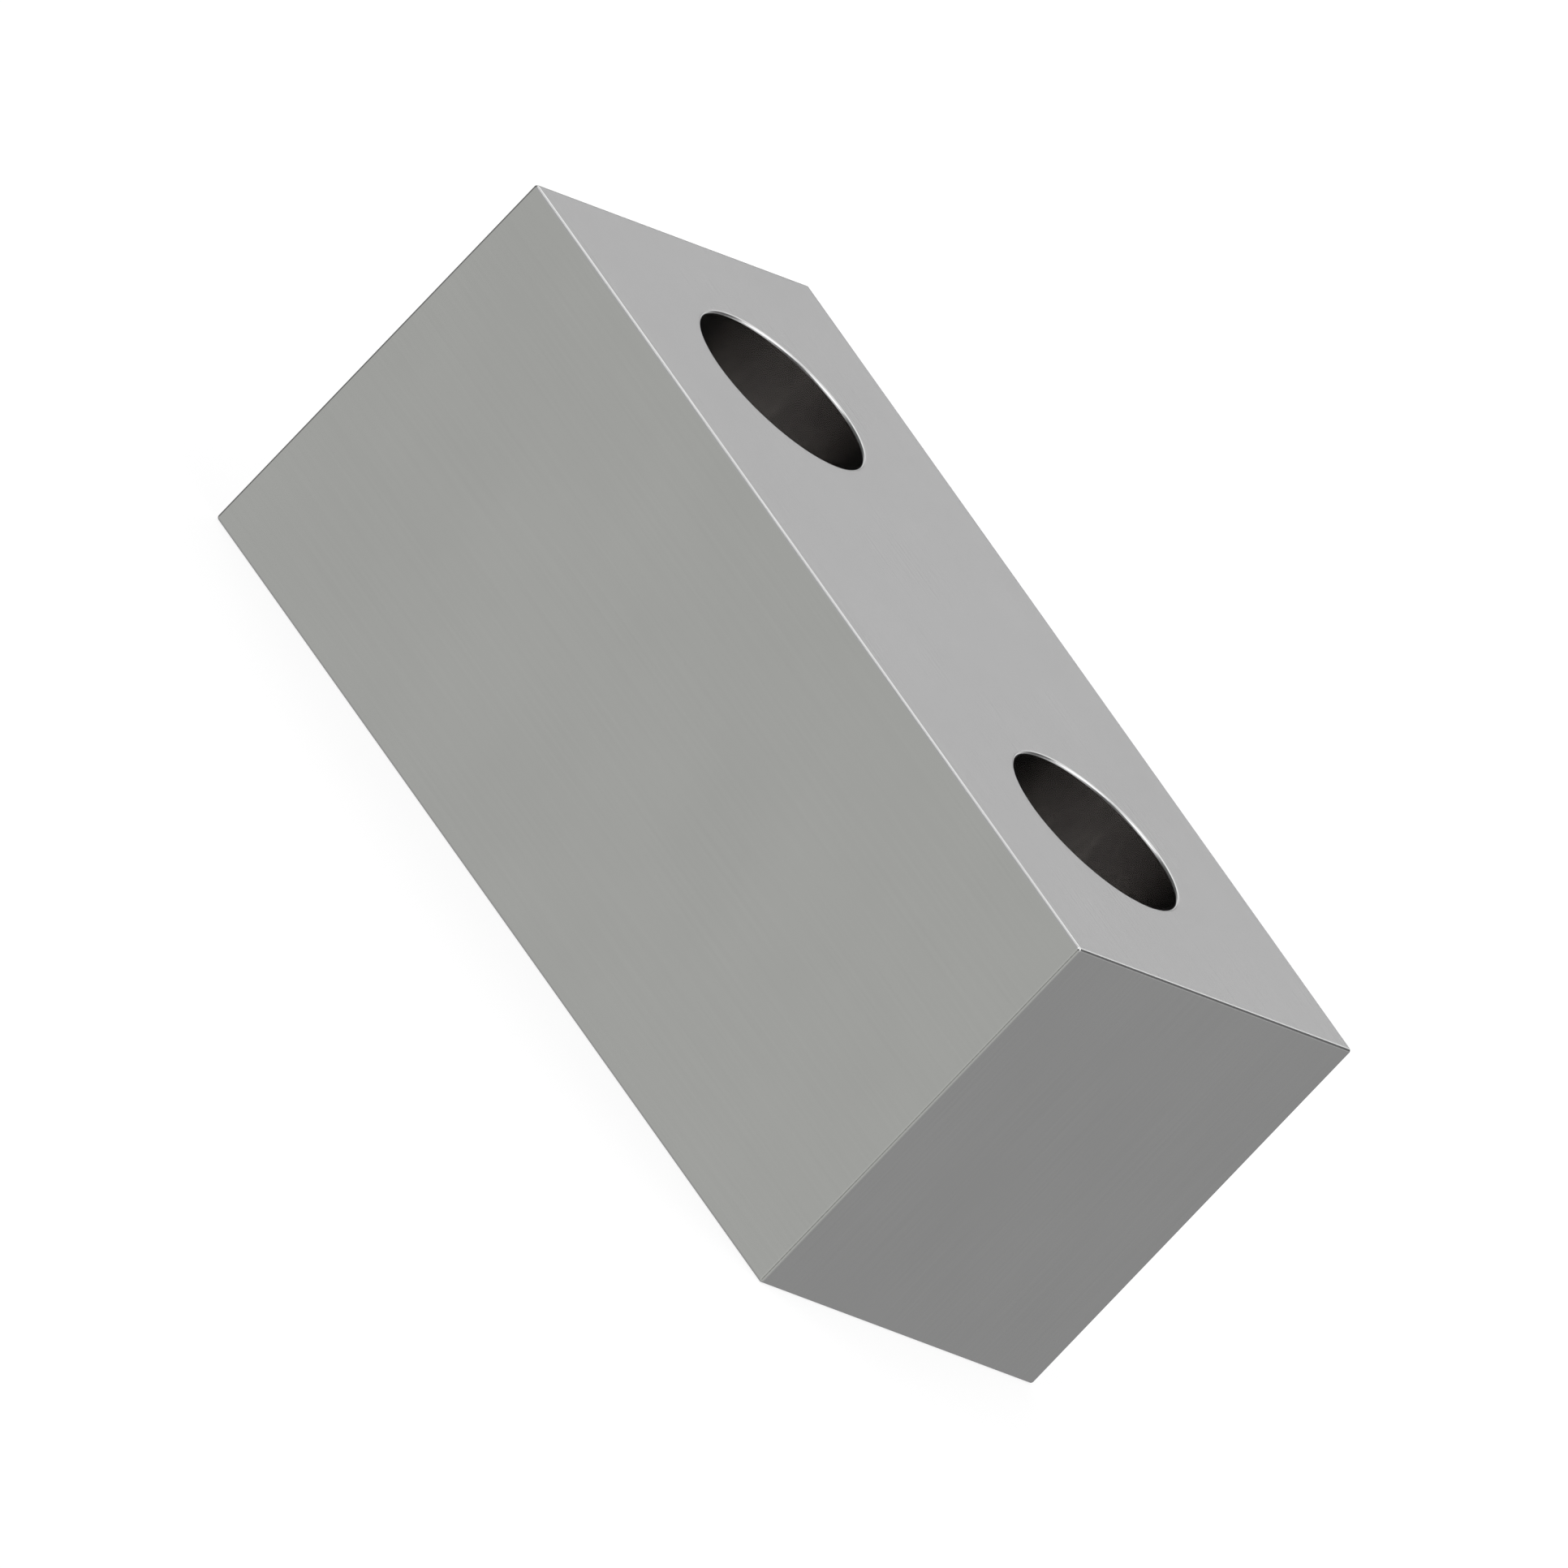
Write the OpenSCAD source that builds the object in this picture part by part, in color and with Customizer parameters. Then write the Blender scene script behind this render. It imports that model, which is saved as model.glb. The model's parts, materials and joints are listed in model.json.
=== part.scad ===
// Spacer bar: a short length of square bar with two plain bores straight through it.
// The bores stand upright, along Z, and the bar's length lies along X.
// The origin is the middle of the bottom face.

/* [Bar] */
// Length of the bar, along X
bar_length = 45.9; // [42:0.1:120]
// Width of the bar, along Y
bar_width = 20; // [16:0.5:60]
// Height of the bar, along Z, which is the length of the bores
bar_height = 20; // [4:0.5:100]
// Radius of the broken outer edges
edge_radius = 0.15; // [0.05:0.01:1]

/* [Bores] */
// Diameter of both bores: 9 is the normal clearance for an M8 screw
bore_diameter = 9; // [3:0.1:12]
// Distance between the two bore axes
bore_spacing = 26.4; // [14:0.1:30]
// Distance from the bar's first end, at -X, to the first bore's axis
first_bore_setback = 9.35; // [6:0.05:13]
// Radius of the rounding at both mouths of each bore
mouth_radius = 0.15; // [0.05:0.01:1]

/* [Hidden] */
// Segments of a full circle, on the bores and on the small roundings
bore_segments = 128;
rounding_segments = 32;
// How far a bore's cutter runs past the faces that it opens
overrun = 1;
bore_radius = bore_diameter / 2;
first_bore_x = first_bore_setback - bar_length / 2;
bore_places = [first_bore_x, first_bore_x + bore_spacing];

// A rectangle in the middle of the plane, with its four corners rounded.
module rounded_rectangle(length, width, radius) {
    square([length - 2 * radius, width], center = true);
    square([length, width - 2 * radius], center = true);
    for (x = [-1, 1], y = [-1, 1])
        translate([x * (length / 2 - radius), y * (width / 2 - radius)])
            circle(r = radius, $fn = rounding_segments);
}

// The bar before drilling. Each of the three outlines rounds the four edges that run
// along its own axis, so what the three share has all twelve edges rounded.
module blank() {
    intersection() {
        linear_extrude(bar_height)
            rounded_rectangle(bar_length, bar_width, edge_radius);
        translate([0, 0, bar_height / 2])
            rotate([90, 0, 0])
                linear_extrude(bar_width, center = true)
                    rounded_rectangle(bar_length, bar_height, edge_radius);
        translate([0, 0, bar_height / 2])
            rotate([90, 0, 90])
                linear_extrude(bar_length, center = true)
                    rounded_rectangle(bar_width, bar_height, edge_radius);
    }
}

// Half of the outline of a bore's cutter, from its axis outwards. It reaches out to
// where the mouths' rounding ends, less the bar's own wall beside the bore, whose
// rounded corners leave a flare at both mouths.
module cutter_outline() {
    difference() {
        translate([0, -overrun])
            square([bore_radius + mouth_radius, bar_height + 2 * overrun]);
        translate([bore_radius + 2 * mouth_radius, bar_height / 2])
            rounded_rectangle(4 * mouth_radius, bar_height, mouth_radius);
    }
}

module bore_cutter() {
    rotate_extrude($fn = bore_segments)
        cutter_outline();
}

module spacer_bar() {
    color("darkgray")
        difference() {
            blank();
            for (x = bore_places)
                translate([x, 0, 0])
                    bore_cutter();
        }
}

spacer_bar();
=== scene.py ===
# Spacer bar: a short length of square steel bar with two plain bores, ground all over
import json
import math
import bpy
import numpy as np
from mathutils import Matrix, Vector


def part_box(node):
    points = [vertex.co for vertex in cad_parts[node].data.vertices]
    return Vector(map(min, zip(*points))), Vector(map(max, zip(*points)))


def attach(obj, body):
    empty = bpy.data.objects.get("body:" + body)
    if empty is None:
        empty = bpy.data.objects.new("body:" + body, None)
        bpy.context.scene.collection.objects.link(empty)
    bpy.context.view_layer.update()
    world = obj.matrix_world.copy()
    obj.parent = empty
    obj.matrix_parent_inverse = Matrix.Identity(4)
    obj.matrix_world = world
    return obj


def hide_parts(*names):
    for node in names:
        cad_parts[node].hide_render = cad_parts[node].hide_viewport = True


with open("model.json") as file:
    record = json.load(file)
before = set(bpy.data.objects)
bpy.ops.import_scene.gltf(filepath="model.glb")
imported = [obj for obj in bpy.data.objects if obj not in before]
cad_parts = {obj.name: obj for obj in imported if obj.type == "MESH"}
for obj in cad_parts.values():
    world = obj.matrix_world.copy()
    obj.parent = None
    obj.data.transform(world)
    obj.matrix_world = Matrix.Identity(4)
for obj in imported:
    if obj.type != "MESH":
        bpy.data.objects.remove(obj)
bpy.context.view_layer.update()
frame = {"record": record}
barLow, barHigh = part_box("spacer_bar")
barMiddle = (barLow + barHigh) / 2
bores = [mount for mount in frame["record"]["mounts"] if mount["kind"] == "bore"]
bores.sort(key=lambda mount: mount["pos_m"][0])
print("frame loaded, with", len(bores), "bores")


def wayAt(azimuth, elevation):
    # Unit direction from two angles in radians. The azimuth starts at the bar's long front face, at -Y.
    return Vector((math.sin(azimuth) * math.cos(elevation), -math.cos(azimuth) * math.cos(elevation),
                   math.sin(elevation)))


# The camera is a parallel one, aimed at the middle of the bar
cameraPlace = {
    "azimuth": 33.60,        # degrees round the bar, from its long front face
    "elevation": 16.62,      # degrees above the floor
    "roll": 43.83,           # degrees that the picture is turned clockwise
    "pictureSize": 1932,     # pixels, both ways
    "barLength": 1365.9,     # pixels, the bar's length if it lay square to the view
    "distance": 0.5,         # metres from the middle of the bar
    "clip": (0.01, 10),      # metres, the nearest and the farthest that it sees
}


def addCamera(place):
    azimuth, elevation, roll = (math.radians(place[k]) for k in ("azimuth", "elevation", "roll"))
    back = wayAt(azimuth, elevation)
    levelRight = Vector((math.cos(azimuth), math.sin(azimuth), 0))
    levelUp = back.cross(levelRight)
    right = levelRight * math.cos(roll) + levelUp * math.sin(roll)
    up = back.cross(right)
    data = bpy.data.cameras.new("camera")
    data.type = "ORTHO"
    data.ortho_scale = (barHigh.x - barLow.x) * place["pictureSize"] / place["barLength"]
    data.clip_start, data.clip_end = place["clip"]
    camera = bpy.data.objects.new("camera", data)
    turned = Matrix((right, up, back)).transposed().to_4x4()
    camera.matrix_world = Matrix.Translation(barMiddle + back * place["distance"]) @ turned
    bpy.context.scene.collection.objects.link(camera)
    bpy.context.scene.camera = camera


addCamera(cameraPlace)
print("camera placed")

# The bar's whole skin: box faces with rounded edges, and a sleeve down each bore
barSkin = {
    "edgeRadius": 0.00015,   # metres, on the twelve outer edges and the bores' mouths
    "gridStep": 0.0005,      # metres between the grid lines on the flat faces
    "edgeSteps": 6,          # faces across half of an outer edge's rounding
    "mouthSteps": 12,        # faces across a bore mouth's rounding
    "faceRings": 8,          # rings of faces from the flat's border to a mouth
    "wallRings": 20,         # rings of faces down a bore's wall
    "sameWithin": 1e-8,      # metres, within which two points are one
}


def evenLines(*stops):
    # Places from stop to stop, each stretch cut into equal steps of about gridStep
    stretches = [np.linspace(a, b, max(1, round((b - a) / barSkin["gridStep"])), endpoint=False)
                 for a, b in zip(stops, stops[1:])]
    return np.concatenate(stretches + [[stops[-1]]])


def boxFace(lines, axis, side):
    # A point is a point of the inner box, which is smaller by the radius r, plus r times its normal.
    # The normal is (side, tan a, tan b) made a unit long. Angles a and b run from -45 to 0 degrees over
    # the rounding at one end, stay 0 along the flat and run from 0 to 45 at the other end.
    radius, steps = barSkin["edgeRadius"], barSkin["edgeSteps"]
    tilt = np.tan(np.linspace(math.pi / 4, 0, steps, endpoint=False))
    first, second = (axis + 1) % 3, (axis + 2) % 3
    counts = [len(lines[k]) + 2 * steps for k in (first, second)]
    core, normals = np.empty(counts + [3]), np.empty(counts + [3])
    flat = []
    for k, shape in ((first, (-1, 1)), (second, (1, -1))):
        tilts = np.concatenate([-tilt, np.zeros(len(lines[k])), tilt[::-1]])
        core[..., k] = np.pad(lines[k], steps, mode="edge").reshape(shape)
        normals[..., k] = tilts.reshape(shape)
        flat.append((tilts == 0)[:-1] & (tilts == 0)[1:])
    core[..., axis] = lines[axis][0 if side < 0 else -1]
    normals[..., axis] = side
    normals /= np.linalg.norm(normals, axis=-1, keepdims=True)
    return core + radius * normals, normals, ~np.outer(*flat)


def boreSleeve(linesX, linesY, centre, boreRadius):
    # A grid of rays by rings. Each ray goes from the bore's axis to a place on the border of the
    # bore's rectangle. The rings go in along the top face, down the wall and out along the bottom one.
    # With s the share of the border, q the ring's radius and u the ray's unit direction, a point is
    # s * border + (1 - s) * (centre + q * u), at the ring's height.
    radius, rings = barSkin["edgeRadius"], barSkin["faceRings"]
    alongX, alongY = np.ones(len(linesX) - 1), np.ones(len(linesY) - 1)
    acrossX = [linesX[:-1], linesX[-1] * alongY, linesX[:0:-1], linesX[0] * alongY]
    acrossY = [linesY[0] * alongX, linesY[:-1], linesY[-1] * alongX, linesY[:0:-1]]
    border = np.stack([np.concatenate(acrossX), np.concatenate(acrossY)], axis=-1)
    ray = border - centre
    ray /= np.linalg.norm(ray, axis=-1, keepdims=True)
    turn = np.linspace(0, math.pi / 2, barSkin["mouthSteps"] + 1)
    down = np.linspace(0, 1, barSkin["wallRings"] + 1)[1:-1]
    low, high = barLow.z + radius, barHigh.z - radius
    share = np.linspace(1, 0, rings + 1)[:-1]
    flat, wall = np.zeros(rings), np.zeros(len(down))
    # One row for each ring: share of the border, radius, height, outward and upward part of the normal
    profile = np.concatenate([
        np.stack([share, flat + boreRadius + radius, flat + high + radius, flat, flat + 1], axis=-1),
        np.stack([0 * turn, boreRadius + radius * (1 - np.sin(turn)), high + radius * np.cos(turn),
                  -np.sin(turn), np.cos(turn)], axis=-1),
        np.stack([wall, wall + boreRadius, high + (low - high) * down, wall - 1, wall], axis=-1),
        np.stack([0 * turn, boreRadius + radius * (1 - np.cos(turn)), low - radius * np.sin(turn),
                  -np.cos(turn), -np.sin(turn)], axis=-1),
        np.stack([share[::-1], flat + boreRadius + radius, flat + low - radius,
                  flat, flat - 1], axis=-1),
    ])
    s, q, height, outward, upward = (column[:, None, None] for column in profile.T)
    level = s * border + (1 - s) * (centre + q * ray)
    points = np.concatenate([level, height + 0 * level[..., :1]], axis=-1)
    normals = np.concatenate([outward * ray, upward + 0 * level[..., :1]], axis=-1)
    return points, normals


def gridFaces(points, normals, kept, start):
    # Four-sided faces of a grid of points, turned so that they face the way of their normals. Where
    # kept isn't None, it says which of them stay. The grid's first point has the number start.
    index = start + np.arange(points[..., 0].size).reshape(points.shape[:2])
    quads = np.stack([index[:-1, :-1], index[1:, :-1], index[1:, 1:], index[:-1, 1:]], axis=-1)
    facing = np.cross(points[1:, 1:] - points[:-1, :-1], points[:-1, 1:] - points[1:, :-1])
    inward = (facing * (normals[:-1, :-1] + normals[1:, 1:])).sum(axis=-1) < 0
    quads[inward] = quads[inward][:, ::-1]
    return quads.reshape(-1, 4) if kept is None else quads[kept]


def makeSkin():
    # All grids as one list of points, with each point's normal, and 1 where it is on a bore's wall
    radius = barSkin["edgeRadius"]
    low, high = np.array(barLow) + radius, np.array(barHigh) - radius
    axes = [mount["pos_m"][0] for mount in bores]
    stops = [low[0], *((a + b) / 2 for a, b in zip(axes, axes[1:])), high[0]]
    lines = [evenLines(*stops), evenLines(low[1], high[1]), evenLines(low[2], high[2])]
    grids = []    # each is its points, their normals, and which of its faces are kept
    for axis in range(3):
        for side in (-1, 1):
            place, normal, rounded = boxFace(lines, axis, side)
            # The flats of the bottom and the top are left to the sleeves
            grids.append((place, normal, rounded if axis == 2 else None))
    boxGrids = len(grids)
    for mount, start, end in zip(bores, stops, stops[1:]):
        linesX = lines[0][(lines[0] >= start) & (lines[0] <= end)]
        centre, boreRadius = np.array(mount["pos_m"][:2]), mount["dims"]["r_mm"] / 1000
        sleeve = boreSleeve(linesX, lines[1], centre, boreRadius)
        place, normal = (np.concatenate([grid, grid[:, :1]], axis=1) for grid in sleeve)    # closed ring
        grids.append((place, normal, None))
    starts = np.cumsum([0] + [place[..., 0].size for place, normal, kept in grids])
    faces = np.concatenate([gridFaces(*grid, start) for grid, start in zip(grids, starts)])
    points, normals = (np.concatenate([grid[k].reshape(-1, 3) for grid in grids]) for k in (0, 1))
    onSleeve = np.arange(len(points)) >= starts[boxGrids]
    onWall = onSleeve & np.isclose(normals[:, 2], 0)    # a wall's normals are level
    return points, normals, faces, onWall.astype(float)


def addBar():
    points, normals, faces, onWall = makeSkin()
    # Points of neighbouring grids that share a place become one, and those that no face uses go
    snapped = np.round(points / barSkin["sameWithin"])
    first, same = np.unique(snapped, axis=0, return_index=True, return_inverse=True)[1:]
    used, faces = np.unique(same.ravel()[faces], return_inverse=True)
    kept = first[used]
    mesh = bpy.data.meshes.new("drilled_bar")
    mesh.from_pydata(points[kept], [], faces.reshape(-1, 4))
    mesh.shade_smooth()
    mesh.normals_split_custom_set_from_vertices(normals[kept])
    mesh.attributes.new("boreWall", "FLOAT", "POINT").data.foreach_set("value", onWall[kept])
    bar = bpy.data.objects.new("drilled_bar", mesh)
    bpy.context.scene.collection.objects.link(bar)
    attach(bar, "root")
    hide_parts("spacer_bar")
    return bar


bar = addBar()
print("bar made, with", len(bar.data.polygons), "faces")


def ramp(nodes, value, spans, kind="LINEAR"):
    # Map Range: the spans are the value's low and high, and what those two become
    node = nodes.new("ShaderNodeMapRange")
    node.interpolation_type = kind
    node.id_data.links.new(value, node.inputs["Value"])
    for name, number in zip(("From Min", "From Max", "To Min", "To Max"), spans):
        node.inputs[name].default_value = number
    return node.outputs["Result"]


def mix(nodes, factor, first, second):
    # Mix Color, where each of the three may be a socket or a plain value
    node = nodes.new("ShaderNodeMix")
    node.data_type = "RGBA"
    sockets = (node.inputs["Factor"], node.inputs[6], node.inputs[7])    # 6 and 7 are its two colours
    for socket, given in zip(sockets, (factor, first, second)):
        if isinstance(given, bpy.types.NodeSocket):
            node.id_data.links.new(given, socket)
        else:
            socket.default_value = given if isinstance(given, (int, float)) else (*given, 1)
    return node.outputs[2]    # the mixed colour


groundSteel = {
    "colour": (0.371, 0.371, 0.371),
    "paintedLightWallColour": (0.695, 0.685, 0.681),    # painted light: the bores' walls are brighter and a little warmer, so that their insides come out lighter
    "edgeTint": (0.92, 0.92, 0.92),     # a little less light at a glancing angle
    "shift": 0.03,                      # share by which the grain and the clouds darken the colour
    "roughness": (0.185, 0.215),        # between the grain's low and high
    "wallRoughness": (0.085, 0.105),
    "grainSize": (0.008, 0.00014),      # metres, along and across the grinding marks
    "ringSize": (0.020, 0.0003),        # metres, round and along the marks in a bore
    "ringShare": 0.15,                  # how far the rings stand out beside the grinding marks
    "cloudSize": 0.006,                 # metres
    "noiseSpan": (0.3, 0.7),            # stretch of the noise that the marks use
    "noiseDetail": 3,                   # finer and finer layers of the noise
    "endSpan": (0.6, 0.8),              # X of the surface's normal, between which an end's marks begin
    "depth": 0.0000015,                 # metres, of the marks
}


def addSteel(finish):
    material = bpy.data.materials.new("ground_steel")
    material.use_nodes = True
    nodes, links = material.node_tree.nodes, material.node_tree.links
    shader = nodes["Principled BSDF"]
    place = nodes.new("ShaderNodeTexCoord").outputs["Object"]

    def marks(size, strength=1.0):
        # Noise from 0 to the strength, stretched to the given size along X, Y and Z
        stretched = nodes.new("ShaderNodeMapping")
        stretched.vector_type = "POINT"
        stretched.inputs["Scale"].default_value = [1 / length for length in size]
        links.new(place, stretched.inputs["Vector"])
        noise = nodes.new("ShaderNodeTexNoise")
        noise.inputs["Scale"].default_value = 1
        noise.inputs["Detail"].default_value = finish["noiseDetail"]
        links.new(stretched.outputs["Vector"], noise.inputs["Vector"])
        return ramp(nodes, noise.outputs["Fac"], (*finish["noiseSpan"], 0, strength))

    long, short = finish["grainSize"]
    around, between = finish["ringSize"]
    facing = nodes.new("ShaderNodeSeparateXYZ")
    links.new(nodes.new("ShaderNodeNewGeometry").outputs["Normal"], facing.inputs["Vector"])
    aside = nodes.new("ShaderNodeMath")
    aside.operation = "ABSOLUTE"
    links.new(facing.outputs["X"], aside.inputs[0])
    onEnd = ramp(nodes, aside.outputs["Value"], (*finish["endSpan"], 0, 1))
    wallShare = nodes.new("ShaderNodeAttribute")
    wallShare.attribute_name = "boreWall"
    onWall = wallShare.outputs["Fac"]

    # Ground along its length on the long faces, upright on the ends, and in rings down a bore
    grain = mix(nodes, onEnd, marks((long, short, short)), marks((short, short, long)))
    grain = mix(nodes, onWall, grain, marks((around, around, between), finish["ringShare"]))
    clouds = marks([finish["cloudSize"]] * 3)
    # On the bores' walls the colour is the brighter, warmer one: painted light that lifts the insides of
    # the bores
    metal = mix(nodes, onWall, finish["colour"], finish["paintedLightWallColour"])
    for pattern in (grain, clouds):
        darker = mix(nodes, finish["shift"], metal, (0, 0, 0))
        metal = mix(nodes, pattern, darker, metal)
    links.new(metal, shader.inputs["Base Color"])
    shader.inputs["Metallic"].default_value = 1
    shader.inputs["Specular Tint"].default_value = (*finish["edgeTint"], 1)
    outside, wall = (ramp(nodes, grain, (0, 1, *finish[k])) for k in ("roughness", "wallRoughness"))
    links.new(mix(nodes, onWall, outside, wall), shader.inputs["Roughness"])
    bump = nodes.new("ShaderNodeBump")
    bump.inputs["Strength"].default_value = 1
    bump.inputs["Distance"].default_value = finish["depth"]
    links.new(grain, bump.inputs["Height"])
    links.new(bump.outputs["Normal"], shader.inputs["Normal"])
    return material


bar.data.materials.append(addSteel(groundSteel))
print("steel finished")

# Three broad lamps overhead, about a third of a turn apart. The steel mirrors them in its top face
# and in its rounded edges.
lamps = {
    "azimuths": (-22, 113, -142),        # degrees round the bar, from its long front face
    "elevations": (60, 57, 43),          # degrees above the floor
    "spreads": (43, 53, 59),             # degrees across each lamp, as the bar sees it
    "brightness": (1.87, 1.64, 1.213),   # of the lamp itself, where 1 is white
}


def addLamps():
    for azimuth, elevation, spread, brightness in zip(*lamps.values()):
        data = bpy.data.lights.new("lamp", "SUN")
        data.angle = math.radians(spread)
        # Its strength is the light on a surface that faces it
        data.energy = brightness * math.pi * math.sin(data.angle / 2) ** 2
        lamp = bpy.data.objects.new("lamp", data)
        lamp.rotation_euler = (math.radians(90 - elevation), 0, math.radians(azimuth))
        bpy.context.scene.collection.objects.link(lamp)


addLamps()

# The room round the bar: bright above its horizon, and below it pale on the near side and dimmer on
# the far side. Soft dark shades hung round it draw the dark lines along the steel's edges.
room = {
    "above": (1.36, 1.36, 1.36),
    "nearBelow": (1.158, 1.175, 1.117),    # on the camera's side
    "farBelow": (0.464, 0.459, 0.475),
    "nearAzimuth": 25.85,                 # degrees round the bar, of the near side's middle
    "horizon": (-0.02, 0.02),             # heights of a unit direction, between which above takes over
}
shades = {
    "azimuths": (-146, -144, 35, -73, 161, 54),
    "elevations": (-8, 25, 9, 13, 25, 36),
    "insides": (8, 16, 27, 21, 1, 14),       # degrees from its middle to where a shade starts to fade
    "outsides": (13, 21, 32, 47, 35, 39),    # degrees from its middle to where it ends
    "shares": (1, 1, 0.61, 0.82, 0.84, 0.64),    # share of the room's light that it takes
}


def addRoom():
    world = bpy.data.worlds.new("room")
    world.use_nodes = True
    bpy.context.scene.world = world
    nodes, links = world.node_tree.nodes, world.node_tree.links
    direction = nodes.new("ShaderNodeTexCoord").outputs["Generated"]

    def towards(way):
        # How far the direction goes along the given way
        node = nodes.new("ShaderNodeVectorMath")
        node.operation = "DOT_PRODUCT"
        links.new(direction, node.inputs[0])
        node.inputs[1].default_value = way
        return node.outputs["Value"]

    nearness = ramp(nodes, towards(wayAt(math.radians(room["nearAzimuth"]), 0)), (-1, 1, 0, 1))
    below = mix(nodes, nearness, room["farBelow"], room["nearBelow"])
    overhead = ramp(nodes, towards((0, 0, 1)), (*room["horizon"], 0, 1), "SMOOTHSTEP")
    light = mix(nodes, overhead, below, room["above"])
    for *angles, share in zip(*shades.values()):
        azimuth, elevation, inside, outside = (math.radians(angle) for angle in angles)
        spans = (math.cos(outside), math.cos(inside), 0, share)
        shade = ramp(nodes, towards(wayAt(azimuth, elevation)), spans, "SMOOTHSTEP")
        light = mix(nodes, shade, light, (0, 0, 0))
    links.new(light, nodes["Background"].inputs["Color"])


addRoom()

stagePlan = {
    "floorSize": 1.8,       # metres
    "floorDrop": 0.00002,   # metres below the bar, so that the two never share a plane
    "floorColour": 0.12,
    "floorOwnLight": 0.85,  # so that it is white where nothing shades it
    "backdropSize": 2.0,    # metres, a white box round everything
}


def addStagePiece(name, points, faces):
    # Stage pieces are for the camera and for shadows: the steel mirrors the room instead
    mesh = bpy.data.meshes.new(name)
    mesh.from_pydata(points, [], faces)
    piece = bpy.data.objects.new(name, mesh)
    bpy.context.scene.collection.objects.link(piece)
    piece.visible_glossy = False
    material = bpy.data.materials.new(name)
    material.use_nodes = True
    mesh.materials.append(material)
    shader = material.node_tree.nodes["Principled BSDF"]
    shader.inputs["Specular IOR Level"].default_value = 0
    shader.inputs["Roughness"].default_value = 1
    shader.inputs["Emission Color"].default_value = (1, 1, 1, 1)
    return piece, material.node_tree, shader


def addFloor(plan):
    half, height = plan["floorSize"] / 2, barLow.z - plan["floorDrop"]
    corners = [(x * half, y * half, height) for x, y in ((-1, -1), (1, -1), (1, 1), (-1, 1))]
    floor, tree, shader = addStagePiece("floor", corners, [(0, 1, 2, 3)])
    shader.inputs["Base Color"].default_value = (*[plan["floorColour"]] * 3, 1)
    shader.inputs["Emission Strength"].default_value = plan["floorOwnLight"]
    # Clear from underneath, so that the bar's lower face can be looked at too
    clear = tree.nodes.new("ShaderNodeBsdfTransparent")
    either = tree.nodes.new("ShaderNodeMixShader")
    tree.links.new(tree.nodes.new("ShaderNodeNewGeometry").outputs["Backfacing"], either.inputs["Fac"])
    tree.links.new(shader.outputs["BSDF"], either.inputs[1])
    tree.links.new(clear.outputs["BSDF"], either.inputs[2])
    tree.links.new(either.outputs["Shader"], tree.nodes["Material Output"].inputs["Surface"])


def addBackdrop(plan):
    half = plan["backdropSize"] / 2
    corners = [(x * half, y * half, z * half) for x in (-1, 1) for y in (-1, 1) for z in (-1, 1)]
    sides = [(0, 1, 3, 2), (4, 6, 7, 5), (0, 4, 5, 1), (2, 3, 7, 6), (0, 2, 6, 4), (1, 5, 7, 3)]
    backdrop, tree, shader = addStagePiece("backdrop", corners, sides)
    shader.inputs["Base Color"].default_value = (0, 0, 0, 1)
    shader.inputs["Emission Strength"].default_value = 1
    backdrop.visible_diffuse = False
    backdrop.visible_shadow = False


addFloor(stagePlan)
addBackdrop(stagePlan)
print("room, floor and backdrop made")

bpy.context.scene.view_settings.view_transform = "Standard"
mostReflections = 16    # light comes up a bore only after many of them
bpy.context.scene.cycles.glossy_bounces = mostReflections
bpy.context.scene.cycles.max_bounces = mostReflections
